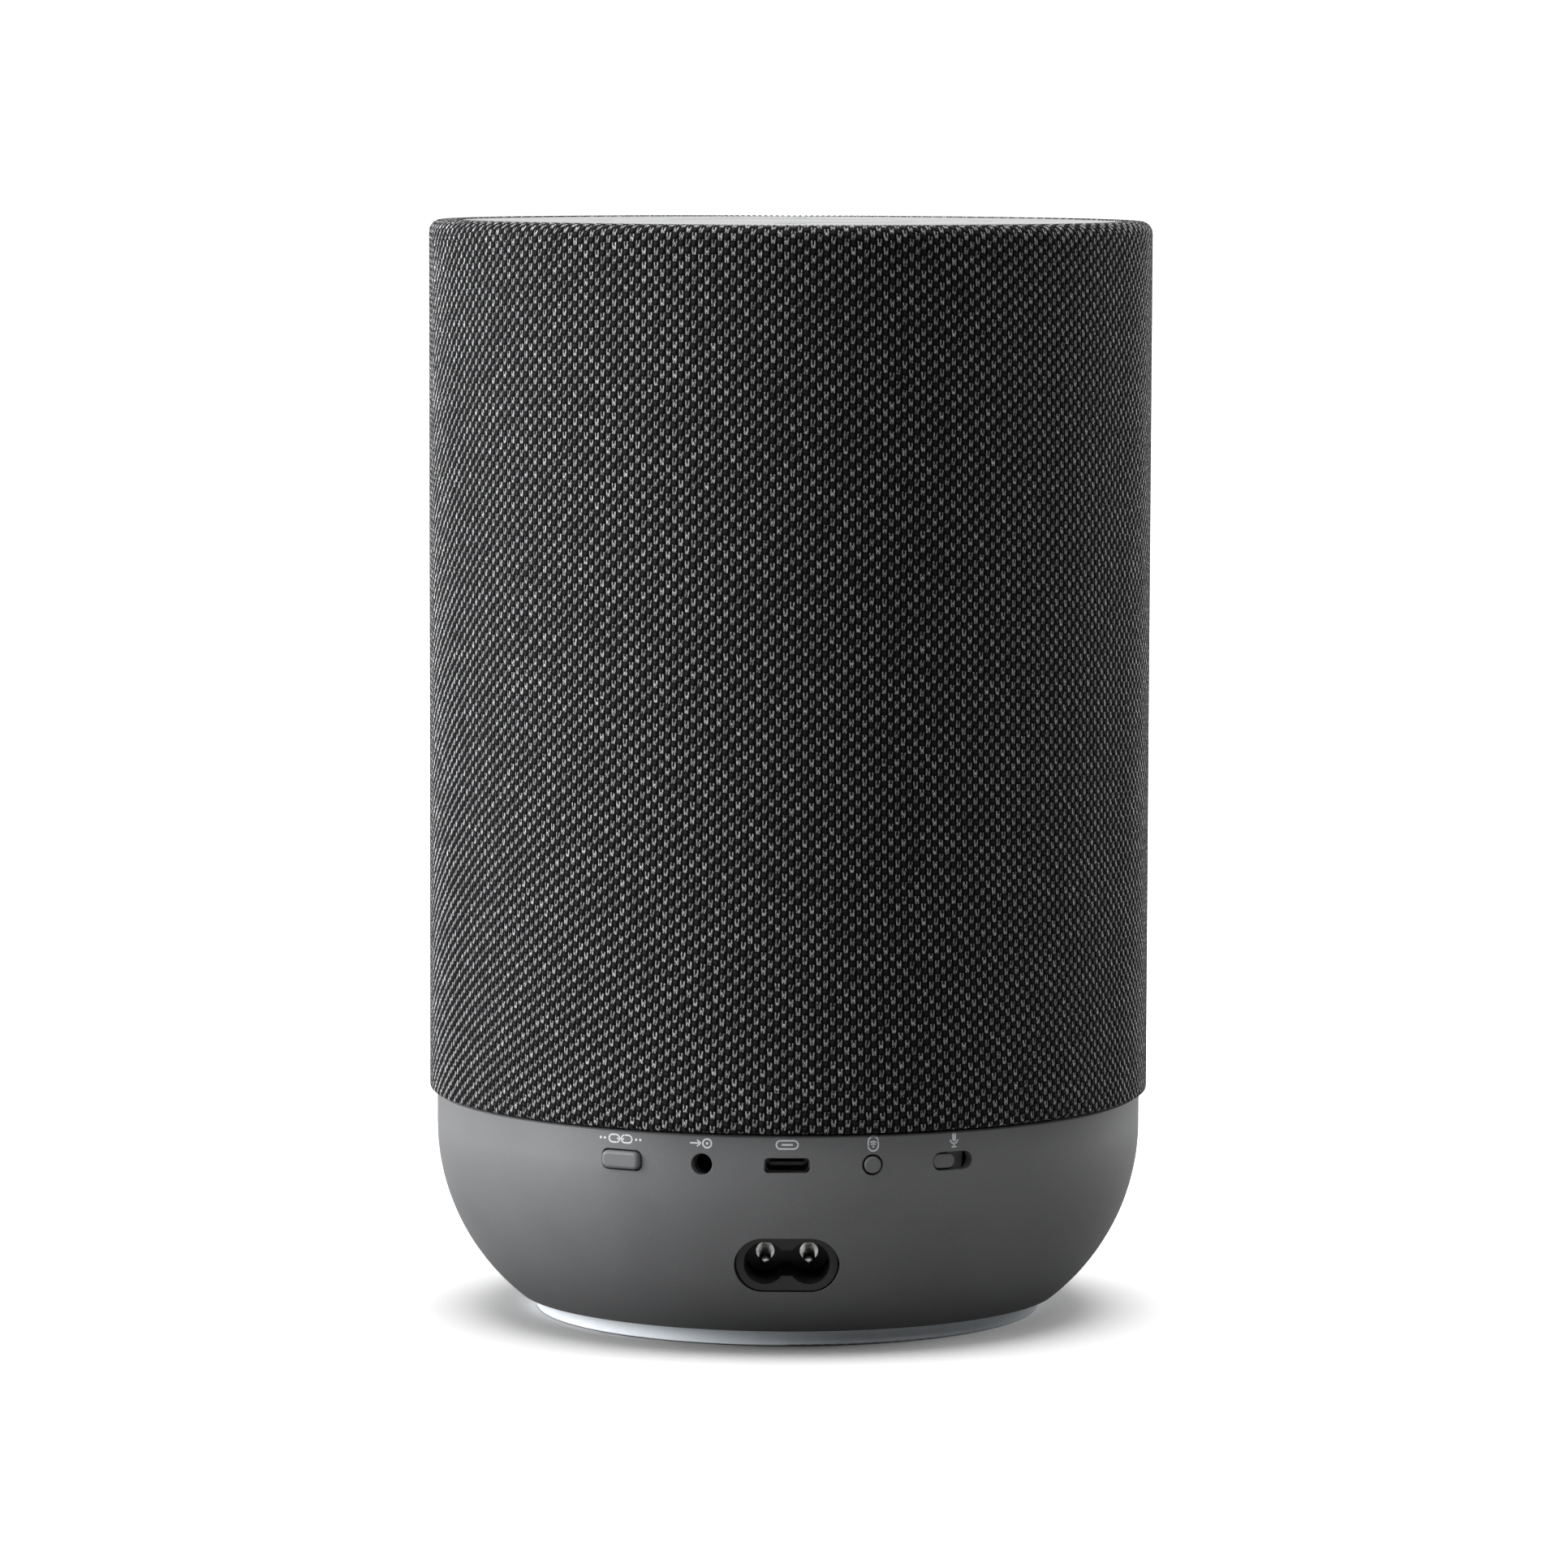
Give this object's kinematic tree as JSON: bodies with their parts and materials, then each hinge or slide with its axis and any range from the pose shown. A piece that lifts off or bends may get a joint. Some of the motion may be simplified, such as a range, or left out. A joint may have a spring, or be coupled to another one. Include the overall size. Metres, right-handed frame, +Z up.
{
  "type": "smart speaker",
  "caption": "Cylindrical fabric-covered smart speaker on a grey bowl-shaped base, with a light ring, a rear row of ports and buttons and a figure-of-eight mains inlet.",
  "frame": {"origin": "middle of the foot, on the surface the speaker stands on", "axes": "+Z up along the cylinder, -Y out through the row of ports, +X to the right seen from the ports"},
  "size_m": [0.145, 0.145, 0.22],
  "materials": {
    "woven_fabric": "tight mottled grey and black knit with short upright stitches",
    "touch_panel": "smooth dark satin touch surface",
    "base_plastic": "fine-textured matte dark grey moulding",
    "foot_rubber": "matte black rubber",
    "light_diffuser": "frosted translucent light guide",
    "inner_plastic": "matte black structural moulding",
    "port_plastic": "black moulded connector plastic",
    "port_metal": "stamped tinned steel",
    "pin_metal": "polished nickel-plated pin",
    "screw_steel": "zinc-plated steel",
    "board_laminate": "green solder-masked laminate",
    "magnet_ferrite": "dark sintered ferrite",
    "sink_aluminium": "extruded aluminium",
    "cone_aluminium": "dark anodised formed sheet",
    "basket_steel": "black painted pressed steel",
    "surround_rubber": "soft black butyl rubber",
    "foam_rubber": "closed-cell foam and soft seals",
    "coil_metal": "varnished copper winding on a thin former",
    "spider_cloth": "resin-stiffened woven cloth",
    "dome_fabric": "coated woven dome",
    "ribbon_film": "flexible film lead",
    "lead_sheath": "black lead sheath"
  },
  "bodies": {
    "root": {"fabric_sleeve": "woven_fabric", "top_panel": "touch_panel", "base_shell": "base_plastic", "foot_pad": "foot_rubber", "light_ring": "light_diffuser", "base_plate": "inner_plastic", "button_switches": "inner_plastic", "mic_switch": "inner_plastic", "aux_jack": "port_plastic", "usb_shell": "port_metal", "usb_tongue": "port_plastic", "inlet_housing": "port_plastic", "inlet_pins": "pin_metal", "case_screws": "screw_steel", "led_board": "board_laminate", "status_leds": "light_diffuser", "power_board": "board_laminate", "transformer": "inner_plastic", "bulk_capacitor": "inner_plastic", "mains_choke": "magnet_ferrite", "power_heat_sink": "sink_aluminium", "board_spacers": "inner_plastic", "main_board": "board_laminate", "shield_can": "port_metal", "processor_heat_sink": "sink_aluminium", "radio_module": "board_laminate", "io_board": "board_laminate", "mid_frame": "inner_plastic", "cabinet_gasket": "foam_rubber", "cabinet": "inner_plastic", "baffle": "inner_plastic", "radiator_frames": "inner_plastic", "radiator_surround_left": "surround_rubber", "radiator_surround_right": "surround_rubber", "woofer_basket": "basket_steel", "woofer_magnet": "magnet_ferrite", "woofer_top_plate": "screw_steel", "woofer_back_plate": "screw_steel", "woofer_spider": "spider_cloth", "woofer_surround": "surround_rubber", "acoustic_deflector": "inner_plastic", "tweeter_left": "inner_plastic", "tweeter_right": "inner_plastic", "tweeter_domes": "dome_fabric", "top_carrier": "inner_plastic", "touch_board": "board_laminate", "microphones": "port_metal", "microphone_boots": "foam_rubber", "grille_frame": "inner_plastic", "touch_ribbon": "ribbon_film", "speaker_lead": "lead_sheath", "lead_grommet": "foam_rubber"},
    "connect_button_body": {"connect_button": "base_plastic"},
    "wireless_button_body": {"wireless_button": "base_plastic"},
    "mic_slider_body": {"mic_slider": "base_plastic"},
    "left_radiator_body": {"radiator_left": "cone_aluminium"},
    "right_radiator_body": {"radiator_right": "cone_aluminium"},
    "woofer_cone_body": {"voice_coil": "coil_metal", "woofer_cone": "cone_aluminium", "dust_cap": "cone_aluminium"}
  },
  "joints": [
    {"name": "connect_press", "type": "slide", "parent": "root", "child": "connect_button_body", "axis": [0.4524, 0.8918, 0], "range_m": [0, 0.0006], "stiffness_N_per_m": 600, "springref_m": -0.0008},
    {"name": "wireless_press", "type": "slide", "parent": "root", "child": "wireless_button_body", "axis": [-0.2326, 0.9726, 0], "range_m": [0, 0.0005], "stiffness_N_per_m": 600, "springref_m": -0.0008},
    {"name": "mic_mute_slide", "type": "slide", "parent": "root", "child": "mic_slider_body", "axis": [0.8918, 0.4524, 0], "range_m": [0, 0.0026]},
    {"name": "woofer_travel", "type": "slide", "parent": "root", "child": "woofer_cone_body", "axis": [0, 0, 1], "range_m": [-0.004, 0.004], "stiffness_N_per_m": 1500, "deforming": ["woofer_spider", "woofer_surround"]},
    {"name": "radiator_left_travel", "type": "slide", "parent": "root", "child": "left_radiator_body", "axis": [-1, 0, 0], "range_m": [-0.003, 0.003], "stiffness_N_per_m": 900, "deforming": ["radiator_surround_left"]},
    {"name": "radiator_right_travel", "type": "slide", "parent": "root", "child": "right_radiator_body", "axis": [1, 0, 0], "range_m": [-0.003, 0.003], "stiffness_N_per_m": 900, "deforming": ["radiator_surround_right"]}
  ]
}
